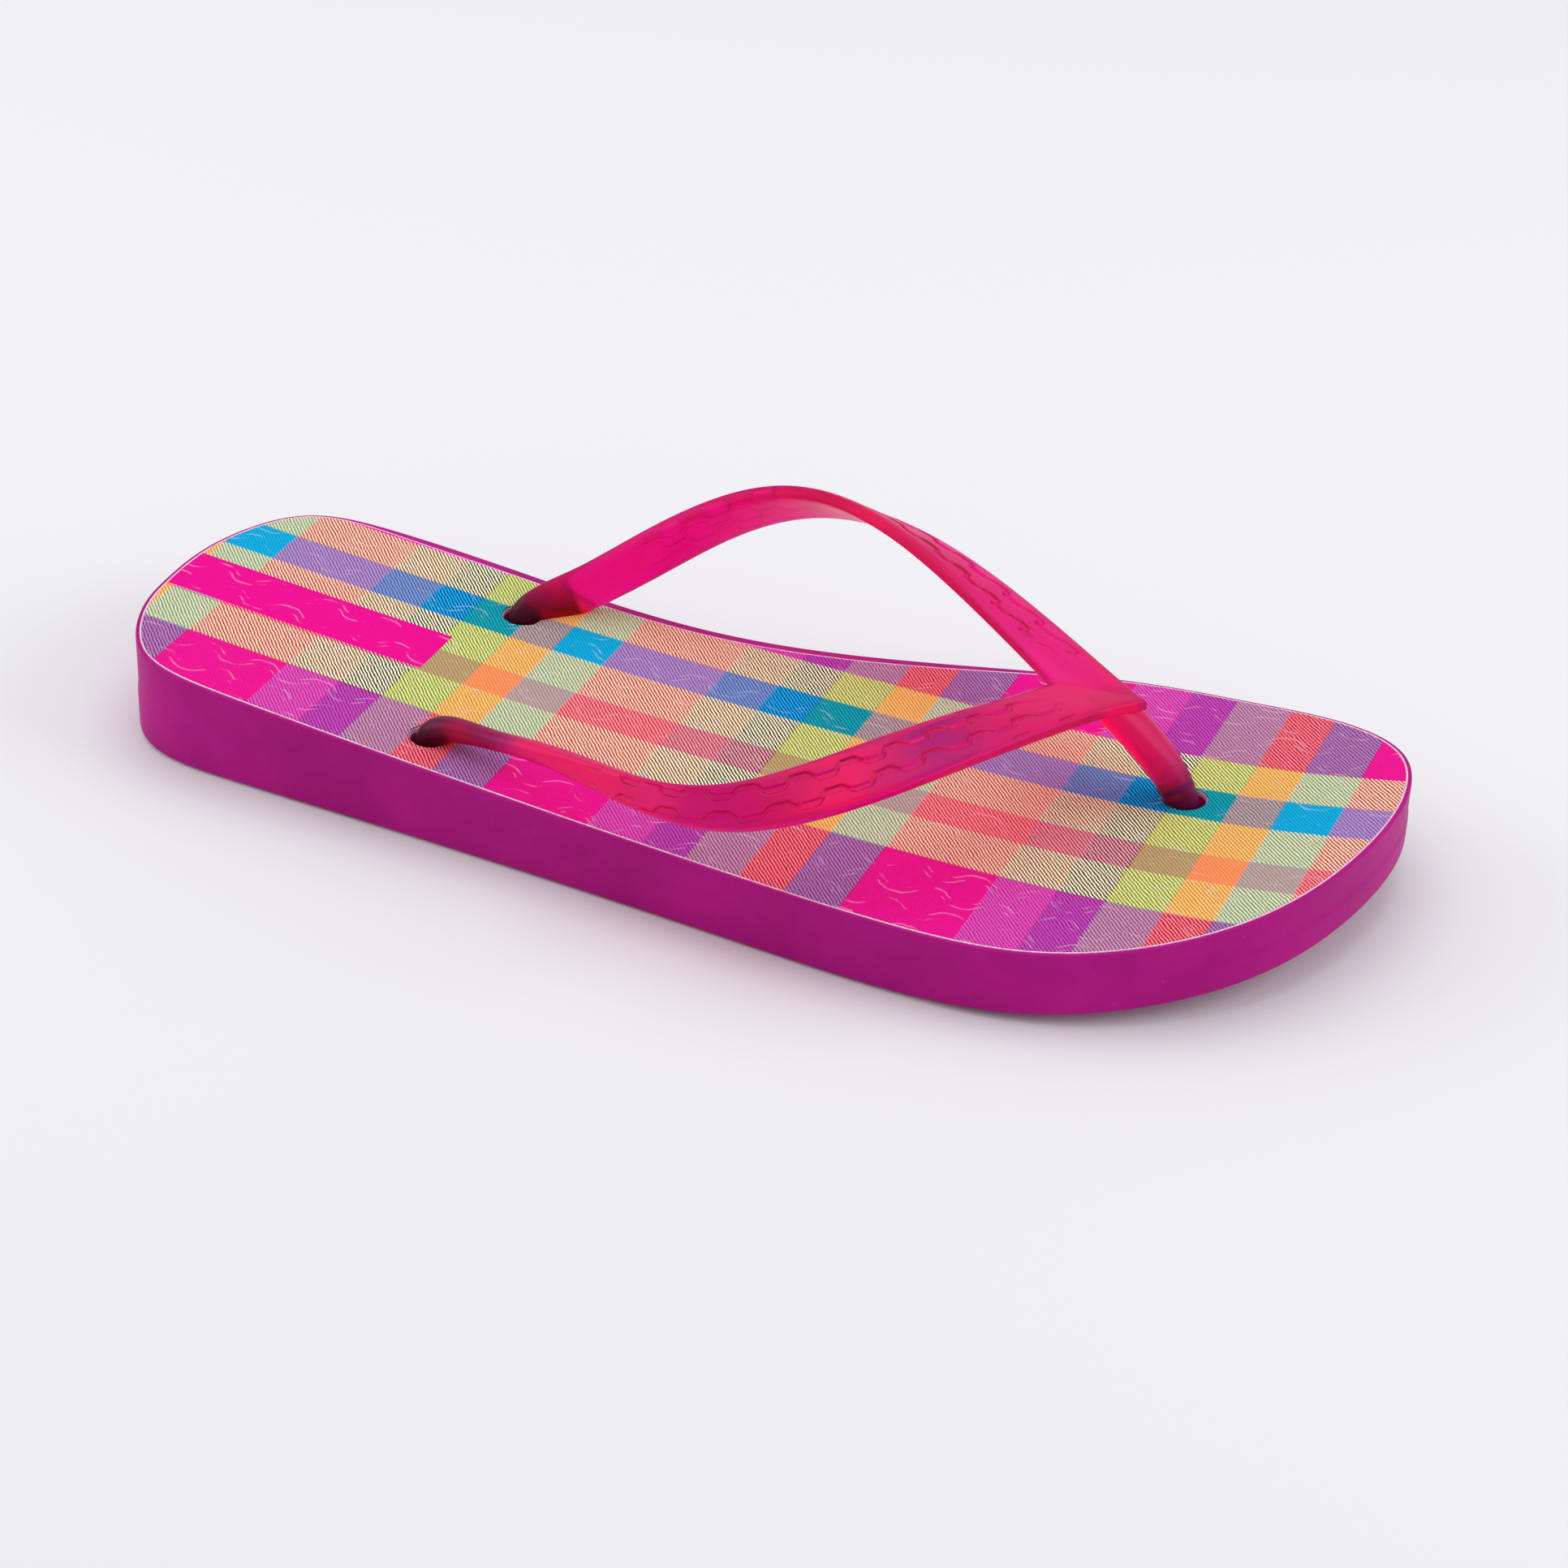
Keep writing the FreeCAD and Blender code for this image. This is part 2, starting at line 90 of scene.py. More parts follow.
def heightTable(tree, y, fromAbove):
    # heights along x at one y, extended past both tips by the last slope
    way = Vector((0, 0, -1 if fromAbove else 1))
    start = Vector((0, y, 0)) - way * probe["farOff"] * mm
    table = []
    x = heelX + probe["tipMargin"] * mm
    while x < toeX - probe["tipMargin"] * mm:
        start.x = x
        hit = tree.ray_cast(start, way)[0]
        flat = hit is None or (not fromAbove and x < 0)
        table.append((x, 0.0 if flat else hit.z))
        x += probe["step"] * mm
    for _ in range(probe["heightRounds"]):
        inner = [(table[k][0], (table[k - 1][1] + 2 * table[k][1] + table[k + 1][1]) / 4)
                 for k in range(1, len(table) - 1)]
        table = [table[0]] + inner + [table[-1]]
    return table


def heightAt(table, x):
    step = table[2][0] - table[1][0]
    place = min(max(int((x - table[1][0]) / step) + 1, 0), len(table) - 2)
    (x0, z0), (x1, z1) = table[place], table[place + 1]
    return z0 + (z1 - z0) * (x - x0) / (x1 - x0)


topTable = heightTable(sheetSurface, 0, True)
groundTable = heightTable(soleSurface, probe["sideLine"] * mm, False)


def topAt(x):
    return heightAt(topTable, x)


def groundAt(x):
    return max(heightAt(groundTable, x), 0.0)


def outlineOfSole():
    # evenly spaced points round the sole's wall, anticlockwise, with inward directions
    rays = []
    for number in range(probe["rays"]):
        angle = 2 * math.pi * number / probe["rays"]
        way = Vector((math.cos(angle), math.sin(angle), 0))
        start = way * probe["farOff"] * mm + Vector((0, 0, probe["level"] * mm))
        hit = soleSurface.ray_cast(start, -way)[0]
        rays.append(Vector((hit.x, hit.y)))
    lengths = [0.0]
    for number in range(len(rays)):
        gap = (rays[(number + 1) % len(rays)] - rays[number]).length
        lengths.append(lengths[-1] + gap)
    points = []
    here = 0
    for number in range(probe["points"]):
        wanted = lengths[-1] * number / probe["points"]
        while lengths[here + 1] < wanted:
            here += 1
        share = (wanted - lengths[here]) / (lengths[here + 1] - lengths[here])
        points.append(rays[here].lerp(rays[(here + 1) % len(rays)], share))
    for _ in range(probe["outlineRounds"]):
        points = [(points[k - 1] + points[k] * 2 + points[(k + 1) % len(points)]) / 4
                  for k in range(len(points))]
    inward = []
    for k in range(len(points)):
        along = points[(k + 1) % len(points)] - points[k - 1]
        inward.append(Vector((-along.y, along.x)).normalized())
    return points, inward


outline, inward = outlineOfSole()
print("outline read:", len(outline), "points")


def newMaterial(name):
    material = bpy.data.materials.new(name)
    material.use_nodes = True
    tree = material.node_tree
    tree.nodes.clear()
    out = tree.nodes.new("ShaderNodeOutputMaterial")
    shader = tree.nodes.new("ShaderNodeBsdfPrincipled")
    tree.links.new(shader.outputs["BSDF"], out.inputs["Surface"])
    return material, tree, shader, out


def addNode(tree, kind, inputs=(), **settings):
    made = tree.nodes.new(kind)
    for key, value in settings.items():
        setattr(made, key, value)
    for key, value in dict(inputs).items():
        if isinstance(value, bpy.types.NodeSocket):
            tree.links.new(value, made.inputs[key])
        else:
            made.inputs[key].default_value = value
    return made


def calc(tree, operation, *values):
    inputs = {number: value for number, value in enumerate(values)}
    return addNode(tree, "ShaderNodeMath", inputs, operation=operation).outputs[0]


def colourOf(red, green, blue):
    # screen colour, 0 to 255, as the linear colour that the sockets take
    linear = []
    for part in (red, green, blue):
        part = part / 255
        linear.append(part / 12.92 if part <= 0.04045 else ((part + 0.055) / 1.055) ** 2.4)
    return (*linear, 1.0)


def rampOf(tree, value, stops, interpolation="LINEAR"):
    made = addNode(tree, "ShaderNodeValToRGB", {"Fac": value})
    ramp = made.color_ramp
    ramp.interpolation = interpolation
    while len(ramp.elements) < len(stops):
        ramp.elements.new(1.0)
    for element, (place, colour) in zip(ramp.elements, stops):
        element.position = place
        element.color = colour
    return made.outputs["Color"]


def mixOf(tree, share, first, second, blend="MIX"):
    made = addNode(tree, "ShaderNodeMix", data_type="RGBA", blend_type=blend)
    for socket, value in ((made.inputs[0], share), (made.inputs[6], first),
                          (made.inputs[7], second)):
        if isinstance(value, bpy.types.NodeSocket):
            tree.links.new(value, socket)
        else:
            socket.default_value = value
    return made.outputs[2]


def softBand(tree, value, low, high):
    # 0 below low, 1 above high
    return addNode(tree, "ShaderNodeMapRange",
                   {"Value": value, "From Min": low, "From Max": high},
                   interpolation_type="SMOOTHSTEP").outputs["Result"]


white = (1, 1, 1, 1)
black = (0, 0, 0, 1)


sole = {
    "rimDrop": 0.15,          # lip of the sole below the footbed's upper face
    "rimRound": 0.45,
    "stepLevel": 0.42,        # height of the small step, as a share of the wall
    "stepOut": 0.22,          # lower wall stands proud of the upper one
    "groundRound": 1.3,
    "groundTuck": 0.85,       # sideways reach of that rounding, as a share of its height
    "holeRadius": 3.7,
    "discRadius": 9.0,
    "discRoof": {"toe": 7.7, "lateral": 4.0, "medial": 4.0},
    "colour": (178, 14, 128),
    "grooveWidth": 1.7,
    "grooveDepth": 0.8,
    "groovePitch": 7.5,
    "grooveMargin": 9.0,      # from the wall to the end of a groove
    "grooveStart": 12.0,      # from the heel's tip
    "grooveEnd": 10.0,        # from the toe's tip
    "plainWaist": (-22.0, 8.0),
    "discMargin": 2.0,        # a groove keeps this far from a disc's recess
    "smoothAngle": 38,
}
sheet = {
    "rim": 0.75,              # from the wall of the sole to the cut edge
    "farRim": 1.3,            # more of it along the inner waist
    "face": 0.35,
    "backing": 0.85,
    "edgeRound": 0.08,
    "backingShown": 0.38,     # width of the pale backing seen round the face
    "backingDrop": 0.05,
    "seatGap": 0.02,          # between the sheet and the sole's bed
    "fray": 0.05,             # unevenness of the holes, as a share of their radius
    "faceHoleExtra": 0.15,
    "smoothAngle": 40,
}
coreInset = 6.0               # inside this line the rings shrink towards the middle


def ringPoint(number, inset, share):
    # a point of the outline moved in by the inset, then scaled towards the middle
    return (outline[number] + inward[number] * inset * mm) * share


def level(depth):
    # height function: a depth in mm below the footbed's upper face
    return lambda x: topAt(x) - depth * mm


def cutEdge(more):
    # inset function: the footbed's cut edge, moved in a little more
    return lambda number: farInset(number) + more


def ringForm(rings):
    # closed form of rings (inset, share, height), from the middle of one face to the other's
    made = bmesh.new()
    count = len(outline)
    edges = []
    for place, (inset, share, height) in enumerate(rings):
        if place == 0:
            ring = bmesh.ops.create_circle(made, segments=count, radius=1)["verts"]
            edges = list(made.edges)
            order = {vert: k for k, vert in enumerate(ring)}
            first = ring
        else:
            grown = bmesh.ops.extrude_edge_only(made, edges=edges)["geom"]
            ring = [item for item in grown if isinstance(item, bmesh.types.BMVert)]
            edges = [item for item in grown if isinstance(item, bmesh.types.BMEdge)]
            nearest = {}
            for vert in ring:
                for edge in vert.link_edges:
                    other = edge.other_vert(vert)
                    if other in order:
                        nearest[vert] = order[other]
            order = nearest
        for vert in ring:
            k = order[vert]
            extra = inset(k) if callable(inset) else inset
            spot = ringPoint(k, extra, share)
            vert.co = (spot.x, spot.y, height(spot.x))
    for ring in (first, list(order)):
        middle = Vector((0, 0, 0))
        middle.z = sum(vert.co.z for vert in ring) / len(ring)
        bmesh.ops.pointmerge(made, verts=ring, merge_co=middle)
    bmesh.ops.recalc_face_normals(made, faces=made.faces)
    return made


def makePiece(name, mesh, material, body):
    data = bpy.data.meshes.new(name)
    mesh.to_mesh(data)
    mesh.free()
    piece = bpy.data.objects.new(name, data)
    scene.collection.objects.link(piece)
    data.materials.append(material)
    for face in data.polygons:
        face.use_smooth = True
    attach(piece, body)
    return piece


def smoothBelow(piece, angle):
    with bpy.context.temp_override(object=piece, active_object=piece, selected_objects=[piece],
                                   selected_editable_objects=[piece]):
        bpy.ops.object.shade_smooth_by_angle(angle=math.radians(angle))


def cutWith(piece, cutter, operation="DIFFERENCE"):
    # boolean applied at once; the cutter is removed
    data = bpy.data.meshes.new("cutter")
    cutter.to_mesh(data)
    cutter.free()
    tool = bpy.data.objects.new("cutter", data)
    scene.collection.objects.link(tool)
    modifier = piece.modifiers.new("cut", "BOOLEAN")
    modifier.object = tool
    modifier.operation = operation
    modifier.solver = "EXACT"
    bpy.context.view_layer.objects.active = piece
    with bpy.context.temp_override(object=piece, active_object=piece):
        bpy.ops.object.modifier_apply(modifier=modifier.name)
    bpy.data.objects.remove(tool)


def rod(mesh, centre, radius, low, high, segments=72):
    made = bmesh.ops.create_cone(mesh, cap_ends=True, segments=segments, radius1=radius * mm,
                                 radius2=radius * mm, depth=high - low)["verts"]
    bmesh.ops.translate(mesh, verts=made, vec=(centre.x, centre.y, (low + high) / 2))
    return made


def soleRings():
    lip = sole["rimDrop"]
    bed = sheet["face"] + sheet["backing"] + sheet["seatGap"]
    rimRound = sole["rimRound"]
    groundRound = sole["groundRound"]
    out = sole["stepOut"]
    step = sole["stepLevel"]
    rings = [(coreInset, share, groundAt) for share in (0.02, 0.2, 0.4, 0.6, 0.75, 0.87)]
    rings += [(inset, 1.0, groundAt) for inset in (8.0, 6.0, 4.6)]
    for turn in range(0, 91, 10):
        angle = math.radians(turn)
        tuck = groundRound * (1 - math.sin(angle)) * sole["groundTuck"] - out
        rise = groundRound * (1 - math.cos(angle))
        rings.append((tuck, 1.0, lambda x, rise=rise: groundAt(x) + rise * mm))

    def wallHeight(share):
        def height(x):
            low = groundAt(x) + groundRound * mm
            high = topAt(x) - (lip + rimRound) * mm
            return low + (high - low) * share
        return height

    # the wall, with a soft step between its lower and upper part
    for share, proud in ((0.15, 1.0), (step - 0.1, 1.0), (step - 0.04, 0.9), (step, 0.5),
                         (step + 0.04, 0.1), (step + 0.1, 0.0), (0.7, 0.0), (0.9, 0.0),
                         (1.0, 0.0)):
        rings.append((-out * proud, 1.0, wallHeight(share)))
    for turn in range(15, 91, 15):
        angle = math.radians(turn)
        fall = rimRound * (1 - math.sin(angle))
        rings.append((rimRound * (1 - math.cos(angle)), 1.0, level(lip + fall)))
    # the lip, then the bed that the footbed lies in
    rings += [(cutEdge(-0.04), 1.0, level(lip)), (cutEdge(-0.01), 1.0, level(lip + 0.04)),
              (cutEdge(-0.01), 1.0, level(bed)), (coreInset, 1.0, level(bed))]
    rings += [(coreInset, share, level(bed)) for share in (0.85, 0.7, 0.5, 0.3, 0.1, 0.02)]
    return rings


def farInset(number):
    # the cut edge keeps further in along the inner side of the waist
    spot = outline[number]
    if spot.y < 0:
        return sheet["rim"]
    place = (spot.x - heelX) / (toeX - heelX)
    more = smoothStep(0.05, 0.2, place) * (1 - smoothStep(0.55, 0.8, place))
    return sheet["rim"] + sheet["farRim"] * more


def soleMaterial():
    material, tree, shader, out = newMaterial("mouldedSole")
    place = addNode(tree, "ShaderNodeTexCoord").outputs["Object"]
    grain = addNode(tree, "ShaderNodeTexNoise", {"Vector": place, "Scale": 2600.0,
                                                 "Detail": 3.0, "Roughness": 0.6})
    cloud = addNode(tree, "ShaderNodeTexNoise", {"Vector": place, "Scale": 38.0,
                                                 "Detail": 4.0, "Roughness": 0.55})
    speck = addNode(tree, "ShaderNodeTexVoronoi", {"Vector": place, "Scale": 190.0})
    base = colourOf(*sole["colour"])
    darker = tuple(part * 0.86 for part in base[:3]) + (1,)
    lighter = tuple(min(part * 1.12 + 0.004, 1) for part in base[:3]) + (1,)
    body = rampOf(tree, cloud.outputs["Fac"], [(0.35, darker), (0.68, lighter)])
    dust = rampOf(tree, speck.outputs["Distance"], [(0.012, white), (0.03, black)])
    dusty = calc(tree, "MULTIPLY", dust, 0.35)
    tinted = mixOf(tree, dusty, body, (0.75, 0.35, 0.62, 1))
    tree.links.new(tinted, shader.inputs["Base Color"])
    rough = addNode(tree, "ShaderNodeMapRange", {"Value": cloud.outputs["Fac"],
                                                 "From Min": 0.3, "From Max": 0.7,
                                                 "To Min": 0.4, "To Max": 0.52})
    tree.links.new(rough.outputs["Result"], shader.inputs["Roughness"])
    shader.inputs["Specular IOR Level"].default_value = 0.08
    bump = addNode(tree, "ShaderNodeBump", {"Height": grain.outputs["Fac"], "Strength": 0.1,
                                            "Distance": 0.0003})
    tree.links.new(bump.outputs["Normal"], shader.inputs["Normal"])
    return material


def grooveCutter():
    # shallow cross grooves under the heel and the ball
    cutter = bmesh.new()
    waistStart, waistEnd = sole["plainWaist"]
    x = heelX + sole["grooveStart"] * mm
    while x < toeX - sole["grooveEnd"] * mm:
        clear = (sole["discRadius"] + sole["discMargin"]) * mm
        nearDisc = any(abs(centre.x - x) < clear for centre in holes.values())
        inWaist = waistStart * mm < x < waistEnd * mm
        if not nearDisc and not inWaist:
            sides = [spot.y for spot in outline if abs(spot.x - x) < 1.5 * mm]
            low = min(sides) + sole["grooveMargin"] * mm
            high = max(sides) - sole["grooveMargin"] * mm
            made = bmesh.ops.create_cube(cutter, size=1)["verts"]
            bmesh.ops.scale(cutter, verts=made, vec=(sole["grooveWidth"] * mm, high - low,
                                                     2 * sole["grooveDepth"] * mm))
            bmesh.ops.translate(cutter, verts=made, vec=(x, (low + high) / 2, groundAt(x)))
        x += sole["groovePitch"] * mm
    return cutter


def makeSole():
    piece = makePiece("soleShell", ringForm(soleRings()), soleMaterial(), "sole")
    stems = bmesh.new()
    recesses = bmesh.new()
    for name, centre in holes.items():
        roof = sole["discRoof"][name] * mm
        rod(stems, centre, sole["holeRadius"], roof - 1 * mm, 40 * mm)
        rod(recesses, centre, sole["discRadius"], -10 * mm, roof)
    for cutter in (stems, recesses, grooveCutter()):
        cutWith(piece, cutter)
    smoothBelow(piece, sole["smoothAngle"])
    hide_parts("sole")
    print("sole made:", len(piece.data.polygons), "faces")


weave = {
    "turn": 6.0,              # of the plaid against the sandal's length
    "shift": (106.86, 20.07),
    "repeat": 71.69,          # length after which the columns repeat
    "columns": (0.0, 21.56, 32.30, 41.22, 51.93, 60.99),
    "rows": ((-60.0, "cream"), (-21.51, "pink"), (0.0, "cream"), (11.08, "orange"),
             (20.04, "cream"), (31.34, "blue"), (40.57, "cream"), (51.54, "pink"),
             (73.86, "cream")),
    "rowSpan": (-60.0, 120.0),
    "twillPitch": 0.615,
    "twillTurn": 44.0,
    "wander": 0.55,           # waviness of the threads
    "jog": 0.35,              # how far a block's border steps with the ribs
    "contrast": 1.3,
    "block": (-16.0, 42.9, 12.7, 25.6),    # left, right, bottom and top of the plain block
    "blockColour": (243, 2, 148),
    "pink": (((234, 22, 152), (211, 34, 157), (146, 48, 154), (170, 84, 130), (203, 25, 74),
              (158, 55, 133)),
             ((246, 0, 140), (221, 90, 189), (211, 71, 180), (195, 153, 184), (252, 125, 136),
              (167, 130, 190))),
    "cream": (((200, 89, 96), (156, 96, 97), (94, 75, 82), (127, 160, 91), (231, 147, 73),
               (135, 168, 138)),
              ((254, 207, 175), (254, 231, 187), (246, 233, 193), (240, 232, 138),
               (254, 208, 119), (229, 226, 183))),
    "orange": (((218, 56, 89), (176, 77, 102), (121, 66, 88), (157, 148, 100), (250, 138, 83),
                (169, 143, 129)),
               ((253, 145, 149), (247, 149, 161), (244, 161, 171), (210, 164, 119),
                (253, 152, 101), (196, 172, 176))),
    "blue": (((158, 87, 162), (97, 92, 155), (1, 84, 149), (1, 129, 141), (137, 121, 109),
              (0, 160, 212)),
             ((168, 154, 210), (117, 161, 221), (18, 175, 241), (14, 171, 192),
              (192, 169, 182), (8, 178, 228))),
}
emboss = {"period": 12.0, "rowGap": 6.4, "neck": 1.2, "swell": 2.4, "line": 0.2,
          "roundness": 1.0, "strength": 0.26, "colour": (255, 215, 235)}


def chainLines(tree, along, across, sizes, lineEnd):
    # 1 on the outlines of interleaved hexagon chains, 0 away from them
    rowGap = sizes["rowGap"]
    rowNumber = calc(tree, "ROUND", calc(tree, "DIVIDE", across, rowGap))
    offset = calc(tree, "SUBTRACT", across, calc(tree, "MULTIPLY", rowNumber, rowGap))
    odd = calc(tree, "PINGPONG", rowNumber, 1.0)
    shifted = calc(tree, "ADD", calc(tree, "DIVIDE", along, sizes["period"]),
                   calc(tree, "MULTIPLY", odd, 0.5))
    wave = calc(tree, "COSINE", calc(tree, "MULTIPLY", shifted, 2 * math.pi))
    swell = softBand(tree, wave, -sizes["roundness"], sizes["roundness"])
    half = calc(tree, "MULTIPLY_ADD", swell, sizes["swell"], sizes["neck"])
    distance = calc(tree, "ABSOLUTE", calc(tree, "SUBTRACT", calc(tree, "ABSOLUTE", offset),
                                           half))
    return calc(tree, "SUBTRACT", 1.0, softBand(tree, distance, sizes["line"] * 0.5,
                                                sizes["line"] * lineEnd))


def ribColours(dark, light):
    # both rows of colours, drawn apart by the rib contrast
    spread = weave["contrast"]
    pairs = []
    for first, second in zip(dark, light):
        middle = [(a + b) / 2 for a, b in zip(first, second)]
        pairs.append([[min(max(m + (part - m) * spread, 0), 255)
                       for m, part in zip(middle, colour)] for colour in (first, second)])
    return [[pair[0] for pair in pairs], [pair[1] for pair in pairs]]


def footbedMaterial():
    material, tree, shader, out = newMaterial("printedFootbed")
    place = addNode(tree, "ShaderNodeTexCoord").outputs["Object"]
    turned = addNode(tree, "ShaderNodeMapping", {
        "Vector": place, "Scale": (1000, 1000, 1000),
        "Rotation": (0, 0, math.radians(weave["turn"])),
        "Location": (weave["shift"][0], weave["shift"][1], 0)}, vector_type="POINT")
    parts = addNode(tree, "ShaderNodeSeparateXYZ", {"Vector": turned.outputs[0]})
    along, across = parts.outputs["X"], parts.outputs["Y"]
    wobble = addNode(tree, "ShaderNodeTexNoise", {"Vector": turned.outputs[0], "Scale": 0.55,
                                                  "Detail": 2.0, "Roughness": 0.6})
    wander = calc(tree, "MULTIPLY", calc(tree, "SUBTRACT", wobble.outputs["Fac"], 0.5),
                  weave["wander"])
    # twill: narrow diagonal ribs, slightly wavy
    turn = math.radians(weave["twillTurn"])
    rib = calc(tree, "ADD", calc(tree, "MULTIPLY", along, math.cos(turn)),
               calc(tree, "MULTIPLY_ADD", across, math.sin(turn), wander))
    ribPhase = calc(tree, "DIVIDE", rib, weave["twillPitch"])
    ribWave = calc(tree, "SINE", calc(tree, "MULTIPLY", ribPhase, 2 * math.pi))
    light = softBand(tree, ribWave, -0.3, 0.3)
    # the colour fields step with the ribs
    jog = calc(tree, "MULTIPLY", calc(tree, "SUBTRACT", light, 0.5), weave["jog"])
    column = calc(tree, "FRACT", calc(tree, "DIVIDE", calc(tree, "ADD", along, jog),
                                      weave["repeat"]))
    low, high = weave["rowSpan"]
    row = calc(tree, "DIVIDE", calc(tree, "SUBTRACT", calc(tree, "SUBTRACT", across, jog), low),
               high - low)
    bands = {}
    for kind in ("pink", "cream", "orange", "blue"):
        shades = []
        for colours in ribColours(*weave[kind]):
            stops = [(start / weave["repeat"], colourOf(*colour))
                     for start, colour in zip(weave["columns"], colours)]
            shades.append(rampOf(tree, column, stops, "CONSTANT"))
        bands[kind] = mixOf(tree, light, *shades)
    cloth = bands["cream"]
    for kind in ("pink", "orange", "blue"):
        stops = [((start - low) / (high - low), white if name == kind else black)
                 for start, name in weave["rows"]]
        cloth = mixOf(tree, rampOf(tree, row, stops, "CONSTANT"), cloth, bands[kind])
    # plain block at the heel
    left, right, bottom, top = weave["block"]
    inside = calc(tree, "MULTIPLY",
                  calc(tree, "MULTIPLY", calc(tree, "GREATER_THAN", along, left),
                       calc(tree, "LESS_THAN", along, right)),
                  calc(tree, "MULTIPLY", calc(tree, "GREATER_THAN", across, bottom),
                       calc(tree, "LESS_THAN", across, top)))
    cloth = mixOf(tree, inside, cloth, colourOf(*weave["blockColour"]))
    # fine threads and worn spots
    thread = addNode(tree, "ShaderNodeTexNoise", {"Vector": turned.outputs[0], "Scale": 3.2,
                                                  "Detail": 3.0, "Roughness": 0.65})
    shade = rampOf(tree, thread.outputs["Fac"], [(0.3, (0.86, 0.86, 0.86, 1)),
                                                 (0.7, (1.08, 1.08, 1.08, 1))])
    cloth = mixOf(tree, 1.0, cloth, shade, "MULTIPLY")
    # embossed chain lines, broken where they are worn flat
    line = chainLines(tree, calc(tree, "ADD", along, wander), calc(tree, "ADD", across, wander),
                      emboss, 1.6)
    patch = addNode(tree, "ShaderNodeTexNoise", {"Vector": turned.outputs[0], "Scale": 0.21,
                                                 "Detail": 2.0, "Roughness": 0.5})
    shown = softBand(tree, patch.outputs["Fac"], 0.44, 0.62)
    trace = calc(tree, "MULTIPLY", line, shown)
    cloth = mixOf(tree, calc(tree, "MULTIPLY", trace, emboss["strength"]), cloth,
                  colourOf(*emboss["colour"]))
    tree.links.new(cloth, shader.inputs["Base Color"])
    shader.inputs["Roughness"].default_value = 0.72
    shader.inputs["Specular IOR Level"].default_value = 0.06
    height = calc(tree, "ADD", calc(tree, "MULTIPLY", light, 0.6),
                  calc(tree, "MULTIPLY", trace, 1.6))
    bump = addNode(tree, "ShaderNodeBump", {"Height": height, "Strength": 0.35,
                                            "Distance": 0.00012})
    tree.links.new(bump.outputs["Normal"], shader.inputs["Normal"])
    return material


def backingMaterial():
    material, tree, shader, out = newMaterial("paleBacking")
    place = addNode(tree, "ShaderNodeTexCoord").outputs["Object"]
    foam = addNode(tree, "ShaderNodeTexNoise", {"Vector": place, "Scale": 1500.0,
                                                "Detail": 3.0, "Roughness": 0.7})
    colour = rampOf(tree, foam.outputs["Fac"], [(0.3, colourOf(226, 150, 200)),
                                                (0.65, colourOf(252, 222, 240))])
    tree.links.new(colour, shader.inputs["Base Color"])
    shader.inputs["Roughness"].default_value = 0.8
    bump = addNode(tree, "ShaderNodeBump", {"Height": foam.outputs["Fac"], "Strength": 0.3,
                                            "Distance": 0.0002})
    tree.links.new(bump.outputs["Normal"], shader.inputs["Normal"])
    return material


def faceRings():
    # the printed sheet; it lies a little inside the border of its backing
    soft = sheet["edgeRound"]
    low = sheet["face"]
    shown = sheet["backingShown"] + 0.01
    rings = [(coreInset, share, level(low)) for share in (0.02, 0.2, 0.4, 0.6, 0.8)]
    rings += [(coreInset, 1.0, level(low)), (cutEdge(shown + soft), 1.0, level(low)),
              (cutEdge(shown), 1.0, level(low - soft)), (cutEdge(shown), 1.0, level(soft)),
              (cutEdge(shown + soft * 0.3), 1.0, level(soft * 0.3)),
              (cutEdge(shown + soft), 1.0, level(0)), (cutEdge(shown + soft * 3), 1.0, level(0)),
              (coreInset, 1.0, level(0))]
    rings += [(coreInset, share, level(0)) for share in (0.9, 0.8, 0.7, 0.6, 0.5, 0.4, 0.3, 0.2,
                                                         0.1, 0.02)]
    return rings


def backingRings():
    # a thin layer with a low raised border, which shows round the face that lies inside it
    soft = sheet["edgeRound"]
    drop = sheet["backingDrop"]
    low = sheet["face"] + sheet["backing"]
    seat = sheet["face"] + 0.005
    shown = sheet["backingShown"]
    rings = [(coreInset, share, level(low)) for share in (0.02, 0.2, 0.4, 0.6, 0.8)]
    rings += [(coreInset, 1.0, level(low)), (cutEdge(soft), 1.0, level(low)),
              (cutEdge(0), 1.0, level(low - soft)), (cutEdge(0), 1.0, level(drop + soft)),
              (cutEdge(soft * 0.3), 1.0, level(drop + soft * 0.3)),
              (cutEdge(soft), 1.0, level(drop)), (cutEdge(shown - soft), 1.0, level(drop)),
              (cutEdge(shown), 1.0, level(drop + soft)), (cutEdge(shown), 1.0, level(seat)),
              (coreInset, 1.0, level(seat))]
    rings += [(coreInset, share, level(seat)) for share in (0.8, 0.6, 0.4, 0.2, 0.02)]
    return rings


def frayedRod(mesh, centre, radius, low, high, seed):
    # cutter for a hole with a slightly uneven, fuzzy edge
    made = rod(mesh, centre, radius, low, high, 160)
    for vert in made:
        away = Vector((vert.co.x - centre.x, vert.co.y - centre.y, 0))
        if away.length > 0.5 * radius * mm:
            angle = math.atan2(away.y, away.x)
            ripple = noise.noise(Vector((math.cos(angle) * 3, math.sin(angle) * 3, seed)))
            tuft = noise.noise(Vector((math.cos(angle) * 14, math.sin(angle) * 14, seed + 5)))
            scale = 1 + sheet["fray"] * (ripple + tuft)
            vert.co.x = centre.x + away.x * scale
            vert.co.y = centre.y + away.y * scale
    return made


